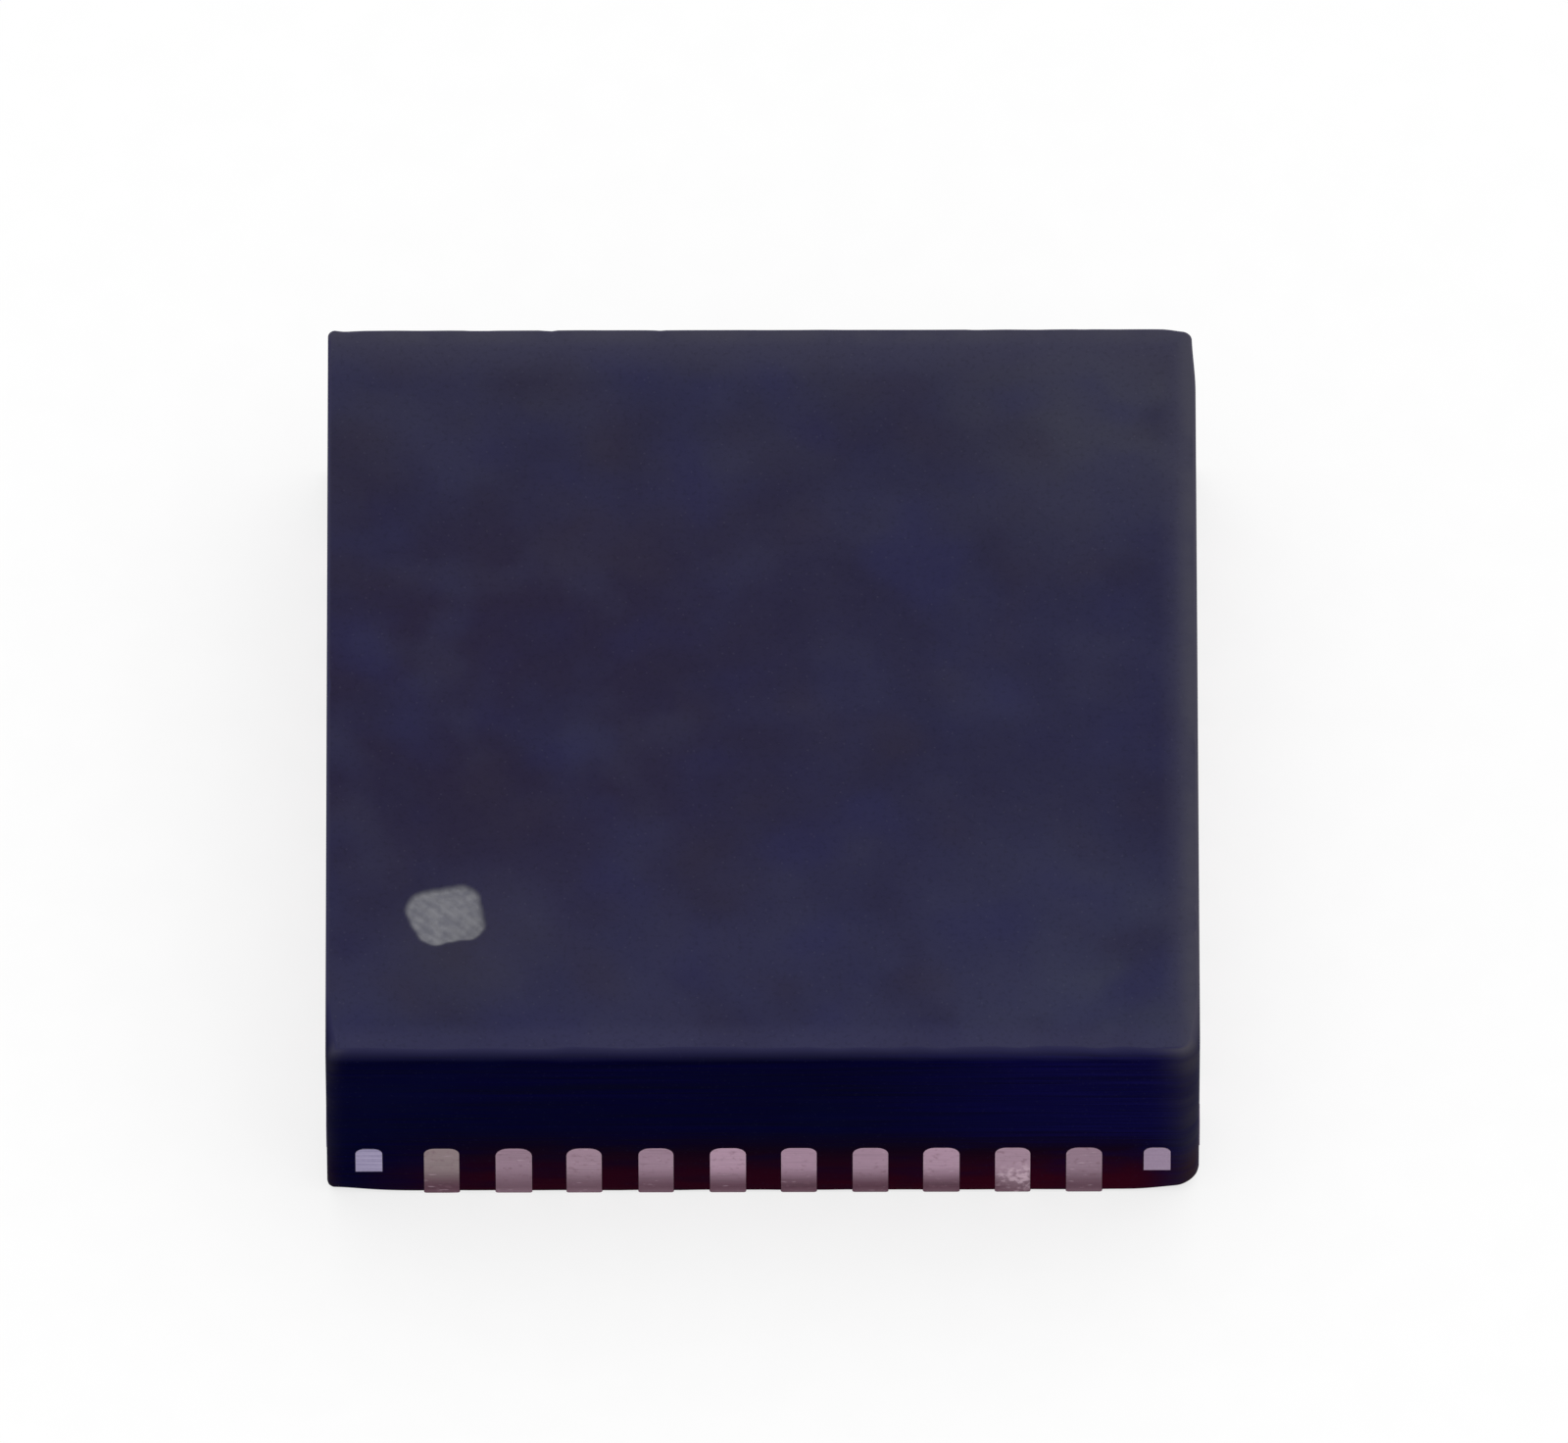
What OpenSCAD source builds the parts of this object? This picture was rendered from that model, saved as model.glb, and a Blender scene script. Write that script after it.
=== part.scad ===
// Quad flat no-lead chip: a sawn block of moulding compound around a copper lead frame, with a
// silicon die on the frame's pad and one bond wire from the die to each lead.
// Millimetres, +Z up. The solder feet lie on Z = 0, centred on the origin. The front side faces -Y,
// and the leads are numbered anticlockwise, seen from above, from the left end of the front side.

/* [Body] */
// Side of the square body
body_w = 4.9; // [4.85:0.05:5.6]
// Height of the top above the solder plane
body_t = 1.4; // [1.2:0.02:1.6]
// Height of the moulding's underside above the solder plane
stand_off = 0.02; // [0.01:0.01:0.05]
// Radius of the body's upright corners
corner_r = 0.04; // [0.02:0.01:0.1]
// Radius of the worn upright corner at the front right
worn_corner_r = 0.13; // [0.1:0.01:0.15]

/* [First-lead mark] */
// Side of the rounded square mark
mark_w = 0.37; // [0.24:0.01:0.5]
// Corner radius of the mark
mark_r = 0.11; // [0.02:0.01:0.15]
// Turn of the mark on the top face, in degrees
mark_turn = 14; // [0:1:45]
// Distance of the mark's centre from the left side
mark_from_left = 0.68; // [0.5:0.01:1]
// Distance of the mark's centre from the front side
mark_from_front = 0.955; // [0.5:0.005:1]
// Depth to which the mark is burnt into the top
mark_d = 0.02; // [0.01:0.005:0.04]

/* [Lead frame] */
// Thickness of the copper sheet
frame_t = 0.46; // [0.36:0.01:0.48]
// Depth of the half etch from the underside
etch_d = 0.23; // [0.16:0.01:0.26]
// Leads on each side
leads_per_side = 10; // [6:1:10]
// Distance between neighbouring leads
lead_pitch = 0.4; // [0.36:0.01:0.4]
// Width of a lead
lead_w = 0.21; // [0.16:0.01:0.22]
// Rounding of a lead's upper edges
lead_edge_r = 0.06; // [0.02:0.01:0.06]
// Length of a lead's solder foot, from the sawn end inwards
foot_l = 0.4; // [0.3:0.01:0.42]
// How far the bond finger reaches inwards past the foot
finger_reach = 0.06; // [0.02:0.01:0.08]
// Side of the exposed pad
pad_w = 3.3; // [2.8:0.05:3.4]
// Corner radius of the exposed pad
pad_r = 0.1; // [0.02:0.01:0.2]
// Leg of the pad's cut corner, beside the first lead
pad_cut = 0.35; // [0.2:0.01:0.5]
// How far the pad's half-etched rim stands out all round
rim_w = 0.1; // [0.04:0.01:0.12]
// Width of a tie bar
tie_w = 0.15; // [0.1:0.01:0.18]
// Rounding of a tie bar's upper edges
tie_edge_r = 0.05; // [0.02:0.01:0.05]
// Distance of a tie-bar end from the corner of the body, along the side
tie_from_corner = 0.24; // [0.22:0.01:0.26]

/* [Die and wires] */
// Side of the square die
die_w = 2.4; // [1.6:0.05:2.8]
// Thickness of the die
die_t = 0.25; // [0.15:0.01:0.3]
// Thickness of the die attach
attach_t = 0.03; // [0.02:0.005:0.05]
// How far the die attach squeezes out all round the die
attach_out = 0.08; // [0.02:0.01:0.15]
// Diameter of a bond wire
wire_d = 0.03; // [0.02:0.005:0.04]
// Height of the wire's crest above the die
loop_h = 0.18; // [0.1:0.01:0.24]

/* [Hidden] */
$fn = 48;
SIDES = ["front", "right", "back", "left"];
half_w = body_w / 2;
// A pocket runs this far past the face that it opens on
overcut = 0.05;
rim_t = frame_t - etch_d;
tie_y = half_w - tie_from_corner;
die_floor = frame_t + attach_t;
die_top = die_floor + die_t;
wire_r = wire_d / 2;
// The joint between two runs of wire is a little fuller than the wire
joint_r = 1.1 * wire_r;
ball_r = 1.3 * wire_d;
ball_h = 0.8 * wire_d;
stitch_r = 1.15 * wire_d;
stitch_h = 0.4 * wire_d;
// The crest runs level over this share of the way to the lead
crest_share = 0.4;
// The ball bonds stand in a row this far in from the die's edge
bond_in = 0.1;
bond_pitch = (die_w - 4 * bond_in) / (leads_per_side - 1);
// The stitch lies in the middle of the foot's flat top
stitch_y = -half_w + 0.6 * foot_l;

function lead_name(n) = str("lead_", n < 10 ? "0" : "", n);
function wires_name(side) = str("bond_wires_", side);
// Place of the i-th of a row of leads or bonds, from 0 and centred on the side
function in_row(i, pitch) = (i - (leads_per_side - 1) / 2) * pitch;

// Turns what is drawn for the front side to side k of the body, anticlockwise
module on_side(k) rotate(90 * k) children();

module rounded_square(w, r) {
    square([w, w - 2 * r], center = true);
    square([w - 2 * r, w], center = true);
    for (x = [-1, 1], y = [-1, 1])
        translate([x, y] * (w / 2 - r)) circle(r);
}

// Section across a lead or a tie bar: straight sides and rounded upper edges
module bar_section(w, edge_r, bottom) {
    flat = w / 2 - edge_r;
    shoulder = frame_t - edge_r;
    translate([-w / 2, bottom]) square([w, shoulder - bottom]);
    translate([-flat, bottom]) square([2 * flat, frame_t - bottom]);
    for (x = [-flat, flat])
        translate([x, shoulder]) circle(edge_r);
}

// Plan of a lead on the front side, from past the sawn end to a round inner end
module lead_plan(length, past) {
    straight = length - lead_w / 2;
    translate([-lead_w / 2, -half_w - past]) square([lead_w, straight + past]);
    translate([0, -half_w + straight]) circle(lead_w / 2);
}

// A lead: its foot has the full thickness, and its longer bond finger is etched from below
module lead_form(past = 0) {
    intersection() {
        rotate([90, 0, 0]) linear_extrude(half_w + past) bar_section(lead_w, lead_edge_r, 0);
        union() {
            linear_extrude(frame_t) lead_plan(foot_l, past);
            translate([0, 0, etch_d])
                linear_extrude(rim_t) lead_plan(foot_l + finger_reach, past);
        }
    }
}

module lead_at(n, past = 0) {
    i = (n - 1) % leads_per_side;
    on_side(floor((n - 1) / leads_per_side))
        translate([in_row(i, lead_pitch), 0, 0]) lead_form(past);
}

// Plan of a tie bar's diagonal, from under the pad's rim to the fork at the back right corner
module tie_diagonal() {
    root = pad_w / 2 - pad_r;
    rotate(45) translate([root * sqrt(2), -tie_w / 2]) square([(tie_y - root) * sqrt(2), tie_w]);
}

// The two tie-bar prongs that come out of the front side, one beside each corner
module tie_prongs(past) {
    inner_y = -tie_y + tie_w / 2;
    for (x = [-tie_y, tie_y])
        translate([x, inner_y, 0]) rotate([90, 0, 0])
            linear_extrude(half_w + inner_y + past) bar_section(tie_w, tie_edge_r, etch_d);
}

// The pad at full thickness, with its half-etched rim and tie bars
module pad_form(past = 0) {
    linear_extrude(frame_t) difference() {
        rounded_square(pad_w, pad_r);
        translate([-pad_w / 2, -pad_w / 2]) rotate(45) square(pad_cut * sqrt(2), center = true);
    }
    translate([0, 0, etch_d]) linear_extrude(rim_t) {
        rounded_square(pad_w + 2 * rim_w, pad_r);
        for (k = [0 : 3]) on_side(k) tie_diagonal();
    }
    for (k = [0 : 3]) on_side(k) tie_prongs(past);
}

module attach_form() {
    translate([0, 0, frame_t])
        linear_extrude(attach_t) rounded_square(die_w + 2 * attach_out, attach_out);
}

module die_form() {
    translate([-die_w / 2, -die_w / 2, die_floor]) cube([die_w, die_w, die_t]);
}

// A straight run of wire between two points [distance from the ball, height]
module wire_run(from, to) {
    run = to - from;
    translate([from[0], 0, from[1]])
        rotate([0, atan2(run[0], run[1]), 0]) cylinder(h = norm(run), r = wire_r);
}

// A bond wire along +X: up from its ball on the die, level, then down to its stitch on the lead
module wire_form(span) {
    ball = [0, die_top];
    neck = [0, die_top + loop_h];
    kink = [crest_share * span, die_top + loop_h];
    stitch = [span, frame_t];
    past_stitch = stitch + 0.1 * (stitch - kink);
    translate([0, 0, die_top]) cylinder(h = ball_h, r = ball_r);
    wire_run(ball, neck);
    wire_run(neck, kink);
    for (bend = [neck, kink])
        translate([bend[0], 0, bend[1]]) sphere(joint_r);
    intersection() {
        wire_run(kink, past_stitch);
        translate([0, -wire_d, frame_t]) cube([2 * span, 2 * wire_d, body_t]);
    }
    translate([span, 0, frame_t]) cylinder(h = stitch_h, r = stitch_r);
}

// The row of bond wires on the front side
module wire_row() {
    for (i = [0 : leads_per_side - 1]) {
        ball = [in_row(i, bond_pitch), -die_w / 2 + bond_in];
        run = [in_row(i, lead_pitch), stitch_y] - ball;
        translate(ball) rotate(atan2(run[1], run[0])) wire_form(norm(run));
    }
}

// Plan of the body: a rounded square, rounder at the worn front right corner
module body_plan() {
    worn = half_w - worn_corner_r;
    difference() {
        rounded_square(body_w, corner_r);
        difference() {
            translate([worn, -half_w - overcut]) square(worn_corner_r + overcut);
            translate([worn, -worn]) circle(worn_corner_r);
        }
    }
}

module mark_form() {
    translate([-half_w + mark_from_left, -half_w + mark_from_front, body_t - mark_d])
        rotate(mark_turn) linear_extrude(mark_d + overcut) rounded_square(mark_w, mark_r);
}

module mould_body() {
    color("#322e47") difference() {
        translate([0, 0, stand_off])
            linear_extrude(body_t - stand_off) body_plan();
        mark_form();
        pad_form(overcut);
        attach_form();
        die_form();
        for (n = [1 : 4 * leads_per_side]) lead_at(n, overcut);
        for (k = [0 : 3]) on_side(k) wire_row();
    }
}

module die_pad() color("#a9a6b4") pad_form();

module die_attach() color("#b9b8b2") attach_form();

module die() color("#5d6470") die_form();

module lead(n) color("#b0969c") lead_at(n);

module bond_wires(k) color("#d8b45a") on_side(k) wire_row();

mould_body();
die_pad();
die_attach();
die();
for (n = [1 : 4 * leads_per_side])
    lead(n);
for (k = [0 : 3])
    bond_wires(k);
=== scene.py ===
import math

import bpy
import numpy as np
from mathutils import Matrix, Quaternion, Vector


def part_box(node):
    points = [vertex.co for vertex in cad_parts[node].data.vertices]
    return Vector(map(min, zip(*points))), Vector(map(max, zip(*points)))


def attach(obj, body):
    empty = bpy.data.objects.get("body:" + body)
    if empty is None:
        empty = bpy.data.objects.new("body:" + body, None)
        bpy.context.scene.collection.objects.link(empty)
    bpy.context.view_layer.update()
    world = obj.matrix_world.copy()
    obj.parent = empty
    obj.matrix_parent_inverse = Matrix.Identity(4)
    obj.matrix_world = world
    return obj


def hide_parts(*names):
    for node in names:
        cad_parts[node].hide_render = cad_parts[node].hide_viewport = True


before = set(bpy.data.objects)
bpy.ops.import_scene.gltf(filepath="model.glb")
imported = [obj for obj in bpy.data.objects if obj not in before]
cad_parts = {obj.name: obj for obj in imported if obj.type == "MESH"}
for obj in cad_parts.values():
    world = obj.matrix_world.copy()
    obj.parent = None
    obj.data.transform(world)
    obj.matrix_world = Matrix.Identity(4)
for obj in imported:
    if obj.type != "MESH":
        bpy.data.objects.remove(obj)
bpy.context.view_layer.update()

MM = 0.001
MICRON = 1e-6

# Sizes that the frame gives
body_low, body_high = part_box("mould_body")
lead_low, lead_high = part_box("lead_01")
HALF_W = body_high.x
TOP_Z = body_high.z
UNDER_Z = body_low.z
LEAD_W = lead_high.x - lead_low.x
FINGER_L = lead_high.y - lead_low.y
FRAME_T = lead_high.z
LEADS_PER_SIDE = 10

# Keeps a divisor from being nought
TINY = 1e-12

# Shares of the way round the moulding at its corners, anticlockwise from the front left one
FRONT_RIGHT = 0.25
BACK_RIGHT = 0.5
BACK_LEFT = 0.75

# Sizes of the moulding
CORNER_R = 0.04 * MM
WORN_CORNER_R = 0.13 * MM
RUBBED_CORNER_R = 0.05 * MM
METAL_PROUD = 4 * MICRON
SIDE_HALF = HALF_W - METAL_PROUD
ALL_ROUND = 8 * SIDE_HALF
FRONT_EDGE_R = 60 * MICRON
FRONT_EDGE_FADE = 0.45 * MM
TOP_EDGE_R = 16 * MICRON
TOP_EDGE_CHIP = 16 * MICRON
LOW_EDGE_R = 10 * MICRON
CORNER_FADE = 8

# Shares by which the edges' rounding wavers, and the share of the nicks that the front's edge is without
TOP_EDGE_WAVER = 0.12
LOW_EDGE_WAVER = 0.3
FRONT_CALM = 0.8

# The top's rim, lightened by wear and by painted sheen: the width of its outer part, and its strength on
# the right, back and left
RIM_RUB_AND_SHEEN = 0.03 * MM
RIGHT_RUB_AND_SHEEN = 0.75
BACK_RUB_AND_SHEEN = 0.5
LEFT_RUB_AND_SHEEN = 0.35

# Painted light on the bend from the top to the side, in the top's tone: the power of its fall in front, and
# how far it stays elsewhere
FRONT_BEND_LIGHT_POWER = 1.25
BEND_LIGHT_REACH = 0.7

# Steps of the moulding's grid and numbers of its rings
FINE_STEP = 12 * MICRON
COARSE_STEP = 36 * MICRON
BEND_RINGS = 5
WALL_RINGS = 13

# The back right corner: how far it is rubbed back at the top, and how far that goes along and down
RUBBED_D = 20 * MICRON
RUBBED_ON_RIGHT = 0.42 * MM
RUBBED_ON_BACK = 0.2 * MM
RUBBED_LOW_Z = 0.6 * MM

# The worn front right corner, the blunted front left one, and the fine line of wear and painted sheen up
# the other corners
WORN_SPAN = 0.14 * MM
WORN_FOOT_R = 68 * MICRON
WORN_FOOT_SPAN = 0.25 * MM
BLUNT_FOOT_R = 55 * MICRON
CORNER_WEAR_AND_SHEEN = 0.4
CORNER_WEAR_AND_SHEEN_SPAN = 0.06 * MM

# Copper that the saw dragged along each side: its start, its full strength, its fading and its end
SMEAR_STOPS = (-2.42 * MM, -1.3 * MM, 2.03 * MM, 2.42 * MM)

# The first-lead mark, burnt into the top
MARK_W = 0.37 * MM
MARK_R = 0.11 * MM
MARK_TURN = math.radians(14)
MARK_X = -HALF_W + 0.68 * MM
MARK_Y = -HALF_W + 0.955 * MM
MARK_D = 0.02 * MM
MARK_EDGE = 0.018 * MM
MARK_SPREAD = 4 * MICRON

# Waves of the mark's outline: how far each goes in and out, how many go round, and where they start
MARK_WAVES = [(14 * MICRON, 2, -1.2), (4 * MICRON, 3, 2.8), (4 * MICRON, 5, 2.7), (2 * MICRON, 13, 0)]

# The lines that the beam burnt across the mark, and half a wave of the wave texture at scale 1
HATCH_W = 24 * MICRON
HATCH_TURN = -MARK_TURN - 0.6
HALF_WAVE = 0.16

# The faint haze of soot that the burning left beside the mark
SOOT_PLACE = (MARK_X + 0.12 * MM, MARK_Y - 0.24 * MM, TOP_Z)
SOOT_REACH = 0.65 * MM

# Sizes of a lead
FOOT_L = 0.4 * MM
ETCH_D = 0.23 * MM
LEAD_EDGE_R = 0.06 * MM
LEAD_EDGE_R_SHARES = (0.85, 1.25)
LEAD_W_SHARES = (0.95, 1)
FOOT_EDGE_R = 12 * MICRON
FOOT_STEP_START = 0.01 * MM
FOOT_STEP_END = 0.04 * MM
SAWN_EDGE_R = 7 * MICRON
SAWN_DOME = 2.5 * MICRON
SAW_DRAG = 5 * MICRON
DRAG_L = 15 * MICRON

# Rows of points of a lead: on the sawn end's dome and rim, along the foot, over its step, round the tip
DOME_ROWS = 5
RIM_ROWS = 4
FOOT_ROWS = 6
STEP_ROWS = 8
TIP_ROWS = 14
TIP_TURN = math.radians(84)

# Looks along a row of leads, counted from 0: where it is brightest and brownest, and how that falls off
BRIGHTEST_IN_ROW = 4.7
BRIGHTEST = 0.69
BRIGHT_FALL = 0.36
BRIGHT_SPREAD = 0.25
BROWNEST_IN_ROW = 6
BROWN_FALL = 0.45
WARMEST = 0.35
LEAD_SEED = 5784

# The patch of bright burr on the front row's ninth lead
BURR_PLACE = (1.43 * MM, -HALF_W, 0.16 * MM)
BURR_REACH = 0.17 * MM

# The photograph's frame and where the top face's centre lies in it, in pixels
PHOTO_W = 1600
PHOTO_H = 1472
PHOTO_TOP_CENTRE = (777.7, 705.0)
PHOTO_PIXELS_PER_MM = 181.7
PHOTO_ROLL = math.radians(0.11)
CAMERA_ELEVATION = math.radians(56.66)
CAMERA_DISTANCE = 0.3
SENSOR_W = 36

# Floor and light
FLOOR_HALF = 0.5
FLOOR_Z = -2 * MICRON
FLOOR_SHADE = 0.3
FLOOR_GLOW = 0.735
UNDERSIDE_GAP = 60 * MICRON
AMBIENT = 0.5
SUN_STRENGTH = 1.55
SUN_SPREAD = math.radians(90)
SUN_TOWARDS = (-0.15, -0.25, -1)


def tone(red, green, blue):
    """Linear colour of a screen colour given in steps of 255, by the sRGB curve."""
    screen = np.array([red, green, blue]) / 255
    linear = np.where(screen <= 0.04045, screen / 12.92, ((screen + 0.055) / 1.055) ** 2.4)
    return (*linear.tolist(), 1.0)


def smooth(value, start, end):
    """Smooth step: 0 at start, 1 at end, and level at both."""
    share = np.clip((value - start) / (end - start), 0, 1)
    return share * share * (3 - 2 * share)


# Surfaces


def ripple(share, waves, seed):
    """Noise from -1 to 1 round a closed line: random heights at even steps, joined by smooth steps."""
    heights = np.random.default_rng(seed).uniform(-1, 1, waves)
    steps = share * waves
    before = np.floor(steps).astype(int)
    blend = smooth(steps - before, 0, 1)
    return heights[before % waves] * (1 - blend) + heights[(before + 1) % waves] * blend


def grid_lines(stops, steps):
    """Places along a line, evenly spaced from each stop to the next by about the given step."""
    runs = []
    for start, end, step in zip(stops[:-1], stops[1:], steps):
        count = max(1, round((end - start) / step))
        runs.append(np.linspace(start, end, count, endpoint=False))
    return np.append(np.concatenate(runs), stops[-1])


def way_round(a, b):
    """Share of the way round a square, anticlockwise from its front left corner, by direction."""
    ring = np.maximum(np.maximum(abs(a), abs(b)), TINY)
    along_a, along_b = a / ring, b / ring
    upright = abs(a) > abs(b)
    right = FRONT_RIGHT + (along_b + 1) / 8
    left = BACK_LEFT + (1 - along_b) / 8
    front = (along_a + 1) / 8
    back = BACK_RIGHT + (1 - along_a) / 8
    return np.where(upright, np.where(a > 0, right, left), np.where(b > 0, back, front)) % 1


def rounded_plan(a, b, half, corner_r):
    """A square grid, a and b from -1 to 1, with its rings bent to rounded squares.

    On each ring, the part of a side within the corner radius of the corner goes onto an eighth of a
    circle. The radius falls with a power of the ring's size, so that only the outer rings are rounded.
    """
    ring = np.maximum(abs(a), abs(b))
    rim = half * ring
    radius = np.maximum(corner_r * ring**CORNER_FADE, TINY)
    short_way = half * np.minimum(abs(a), abs(b))
    turn = np.clip((short_way - (rim - radius)) / radius, 0, 1) * math.pi / 4
    long_way = rim - radius + radius * np.cos(turn)
    short_way = np.minimum(short_way, rim - radius) + radius * np.sin(turn)
    sideways = abs(a) >= abs(b)
    x = np.sign(a) * np.where(sideways, long_way, short_way)
    y = np.sign(b) * np.where(sideways, short_way, long_way)
    return x, y


def sheet_faces(rows, columns):
    """Quads of a grid of points, stored row by row, facing up if rows run along X, columns along Y."""
    corner = (np.arange(rows - 1)[:, None] * columns + np.arange(columns - 1)[None, :]).ravel()
    return np.stack([corner, corner + columns, corner + columns + 1, corner + 1], axis=1)


def rim_loop(rows, columns):
    """Indices of a grid's rim, anticlockwise from its first point."""
    i = np.concatenate([
        np.arange(rows - 1),
        np.full(columns - 1, rows - 1),
        np.arange(rows - 1, 0, -1),
        np.zeros(columns - 1, int),
    ])
    j = np.concatenate([
        np.zeros(rows - 1, int),
        np.arange(columns - 1),
        np.full(rows - 1, columns - 1),
        np.arange(columns - 1, 0, -1),
    ])
    return i * columns + j


def band_faces(upper, lower):
    """Quads between two closed rows of points, facing outwards where the rows run anticlockwise."""
    return np.stack([upper, lower, np.roll(lower, -1), np.roll(upper, -1)], axis=1)


def mark_distance(x, y):
    """Distance outside the mark's outline: a turned, rounded square, plus sine waves round its rim."""
    across, along = x - MARK_X, y - MARK_Y
    u = np.cos(MARK_TURN) * across + np.sin(MARK_TURN) * along
    v = np.cos(MARK_TURN) * along - np.sin(MARK_TURN) * across
    over_u = abs(u) - (MARK_W / 2 - MARK_R)
    over_v = abs(v) - (MARK_W / 2 - MARK_R)
    outside = np.hypot(np.maximum(over_u, 0), np.maximum(over_v, 0))
    inside = np.minimum(np.maximum(over_u, over_v), 0)
    angle = np.arctan2(v, u)
    waver = sum(reach * np.sin(count * angle + start) for reach, count, start in MARK_WAVES)
    return outside + inside - MARK_R + waver - MARK_SPREAD


def moulding_surface():
    """The moulding: a top and an underside sheet on one rounded-square grid, joined by a band of rings.

    The rings of the band go round the upper edge, down the sawn side and round the lower edge as quarter
    circles. Each edge's radius wavers along the rim, so that the sawn edges are nicked and not ruled. It
    is larger along the front's upper edge, and at the feet of the two front corners it swells as a bell
    curve. Towards the top, the sides beside the back right corner are drawn in by smooth steps.
    """
    rim = 0.14 * MM
    reach = 0.26 * MM
    steps = [FINE_STEP, COARSE_STEP, FINE_STEP, COARSE_STEP, FINE_STEP]
    stops_x = [-SIDE_HALF, -SIDE_HALF + rim, MARK_X - reach, MARK_X + reach, SIDE_HALF - rim, SIDE_HALF]
    stops_y = [-SIDE_HALF, -SIDE_HALF + rim, MARK_Y - reach, MARK_Y + reach, SIDE_HALF - rim, SIDE_HALF]
    lines_x = grid_lines(stops_x, steps) / SIDE_HALF
    lines_y = grid_lines(stops_y, steps) / SIDE_HALF
    rows, columns = len(lines_x), len(lines_y)
    a, b = (grid.ravel() for grid in np.meshgrid(lines_x, lines_y, indexing="ij"))
    ring = np.maximum(abs(a), abs(b))
    share = way_round(a, b)

    def bell(distance, span):
        return np.exp(-((distance / span) ** 2))

    corner_r = np.where(a < 0, CORNER_R, np.where(b < 0, WORN_CORNER_R, RUBBED_CORNER_R))
    along = (4 * share % 1 - 0.5) * 2 * SIDE_HALF
    from_corner = SIDE_HALF - abs(along)
    from_worn_corner = abs(share - FRONT_RIGHT) * ALL_ROUND
    from_blunt_corner = np.minimum(share, 1 - share) * ALL_ROUND
    past_front = np.minimum(np.maximum(share - FRONT_RIGHT, 0), 1 - share) * ALL_ROUND
    front = smooth(past_front, FRONT_EDGE_FADE, 0)
    small_nicks = smooth(ripple(share, waves=220, seed=3), 0.3, 1)
    nicks = small_nicks * smooth(ripple(share, waves=47, seed=4), -0.4, 1)
    upper_r = TOP_EDGE_R + (FRONT_EDGE_R - TOP_EDGE_R) * front
    upper_r = upper_r * (1 + TOP_EDGE_WAVER * ripple(share, waves=130, seed=5))
    upper_r = upper_r + TOP_EDGE_CHIP * nicks * (1 - FRONT_CALM * front)
    lower_r = LOW_EDGE_R * (1 + LOW_EDGE_WAVER * ripple(share, waves=120, seed=6))
    lower_r = lower_r + WORN_FOOT_R * bell(from_worn_corner, WORN_FOOT_SPAN)
    lower_r = lower_r + BLUNT_FOOT_R * bell(from_blunt_corner, WORN_FOOT_SPAN)
    past_rubbed = (share - BACK_RIGHT) * ALL_ROUND
    on_right = smooth(past_rubbed, -RUBBED_ON_RIGHT, 0)
    on_back = smooth(past_rubbed, RUBBED_ON_BACK, 0)
    rubbed_off = RUBBED_D * on_right * on_back
    near_rim = smooth(ring, 1 - rim / SIDE_HALF, 1)

    def sheet(edge_r, taken_off):
        inset = edge_r * near_rim
        return rounded_plan(a, b, SIDE_HALF - inset - taken_off * near_rim, corner_r - inset)

    top_x, top_y = sheet(upper_r, rubbed_off)
    burnt = smooth(mark_distance(top_x, top_y), MARK_EDGE, -MARK_EDGE)
    top = np.stack([top_x, top_y, TOP_Z - MARK_D * burnt], axis=1)
    low_x, low_y = sheet(lower_r, 0)
    underside = np.stack([low_x, low_y, np.full_like(low_x, UNDER_Z)], axis=1)

    loop = rim_loop(rows, columns)
    loop_a, loop_b = a[loop], b[loop]
    loop_upper, loop_lower = upper_r[loop], lower_r[loop]

    def ring_at(inset, z):
        taken_off = rubbed_off[loop] * smooth(z, RUBBED_LOW_Z, TOP_Z)
        x, y = rounded_plan(loop_a, loop_b, SIDE_HALF - inset - taken_off, corner_r[loop] - inset)
        return np.stack([x, y, z], axis=1)

    bend = np.linspace(0, math.pi / 2, BEND_RINGS + 1)[1:]
    wall = np.linspace(0, 1, WALL_RINGS + 2)[1:-1]
    rings = [ring_at(loop_upper * (1 - np.sin(t)), TOP_Z - loop_upper * (1 - np.cos(t))) for t in bend]
    wall_top, wall_low = TOP_Z - loop_upper, UNDER_Z + loop_lower
    rings += [ring_at(np.zeros_like(loop_upper), wall_top * (1 - t) + wall_low * t) for t in wall]
    rings += [
        ring_at(loop_lower * (1 - np.cos(t)), UNDER_Z + loop_lower * (1 - np.sin(t)))
        for t in np.append(0, bend[:-1])
    ]

    band_start = len(top) + np.arange(len(rings))[:, None] * len(loop)
    band = [loop, *(band_start + np.arange(len(loop))), loop + len(top) + len(rings) * len(loop)]
    side_faces = np.concatenate([band_faces(upper, lower) for upper, lower in zip(band[:-1], band[1:])])
    top_faces = sheet_faces(rows, columns)
    under_faces = top_faces[:, ::-1] + len(top) + len(rings) * len(loop)

    points = np.concatenate([top, *rings, underside])
    faces = np.concatenate([top_faces, side_faces, under_faces])
    finish_index = np.repeat([0, 1, 2], [len(top_faces), len(side_faces), len(under_faces)])

    def by_ring(on_top, on_bend, on_wall):
        on_side = np.tile(on_wall, len(rings) - len(bend))
        return np.concatenate([on_top, np.ravel(on_bend), on_side, np.zeros(len(underside))])

    # The top's outer rim on the right, back and left, lightened by wear and by painted sheen
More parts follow.
